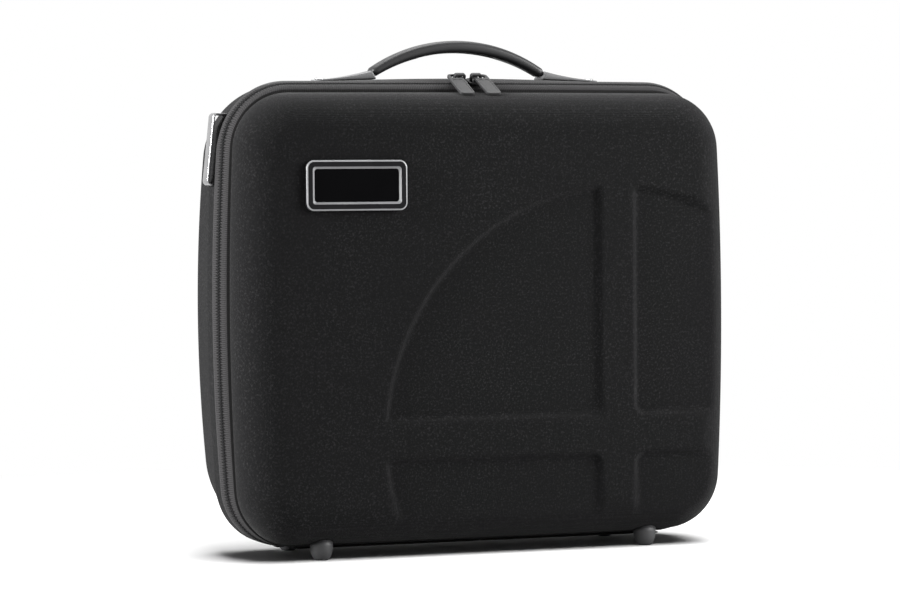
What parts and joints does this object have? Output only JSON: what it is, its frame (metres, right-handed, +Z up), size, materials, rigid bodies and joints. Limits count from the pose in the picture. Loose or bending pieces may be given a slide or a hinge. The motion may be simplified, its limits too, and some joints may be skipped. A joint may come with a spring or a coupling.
{
  "type": "zipped microphone case",
  "caption": "Moulded, fabric-covered carrying case for a studio microphone, with a lid that is hinged below and zipped round, and a carrying handle",
  "frame": {"origin": "on the floor under the middle of the case's box, between the feet", "axes": "+X to the right seen from the front, +Y from the front face to the back, +Z up from the feet to the handle"},
  "size_m": [0.3608, 0.1132, 0.3397],
  "materials": {
    "shell_fabric": "fine dry weave bonded over moulded foam",
    "foam": "matt brushed cloth over foam",
    "tape": "woven tape",
    "satin_metal": "satin grey coat",
    "bright_metal": "brushed plating",
    "handle_end": "satin",
    "grip_rubber": "smooth, slightly glossy",
    "foot_rubber": "matt",
    "badge_frame": "gloss black with polished edges",
    "badge_gloss": "plain gloss black, bare"
  },
  "bodies": {
    "base": {"rear_shell": "shell_fabric", "base_foam_insert": "foam", "rear_zip_tape": "tape", "zip_stop_left": "satin_metal", "zip_stop_right": "satin_metal", "hinge_strip_rear": "tape", "handle_core": "handle_end", "handle_grip": "grip_rubber", "handle_rivet_left": "bright_metal", "handle_rivet_right": "bright_metal", "handle_backing_plate_left": "satin_metal", "handle_backing_plate_right": "satin_metal", "strap_loop_left": "bright_metal", "strap_loop_right": "bright_metal", "strap_loop_plate_left": "satin_metal", "strap_loop_plate_right": "satin_metal", "foot_rear_left": "foot_rubber", "foot_rear_right": "foot_rubber"},
    "lid": {"front_shell": "shell_fabric", "lid_foam_pad": "foam", "front_zip_tape": "tape", "hinge_strip_front": "tape", "badge_frame": "badge_frame", "badge_insert": "badge_gloss", "foot_front_left": "foot_rubber", "foot_front_right": "foot_rubber"},
    "left_slider": {"slider_left": "satin_metal"},
    "right_slider": {"slider_right": "satin_metal"},
    "left_pull": {"zip_pull_left": "satin_metal"},
    "right_pull": {"zip_pull_right": "satin_metal"}
  },
  "joints": [
    {"name": "lid_hinge", "type": "hinge", "parent": "base", "child": "lid", "pos_m": [0, -0.0114, 0.00675], "axis": [1, 0, 0], "range_deg": [0, 150]},
    {"name": "slider_left_run", "type": "slide", "parent": "base", "child": "left_slider", "axis": [-1, 0, 0], "range_m": [0, 0.105]},
    {"name": "slider_right_run", "type": "slide", "parent": "base", "child": "right_slider", "axis": [1, 0, 0], "range_m": [0, 0.105]},
    {"name": "pull_left_swing", "type": "hinge", "parent": "left_slider", "child": "left_pull", "pos_m": [-0.0116, -0.01309, 0.31349], "axis": [0, -0.4067, 0.9135], "range_deg": [-90, 0]},
    {"name": "pull_right_swing", "type": "hinge", "parent": "right_slider", "child": "right_pull", "pos_m": [0.0066, -0.01309, 0.31349], "axis": [0, -0.4067, 0.9135], "range_deg": [0, 88]}
  ]
}
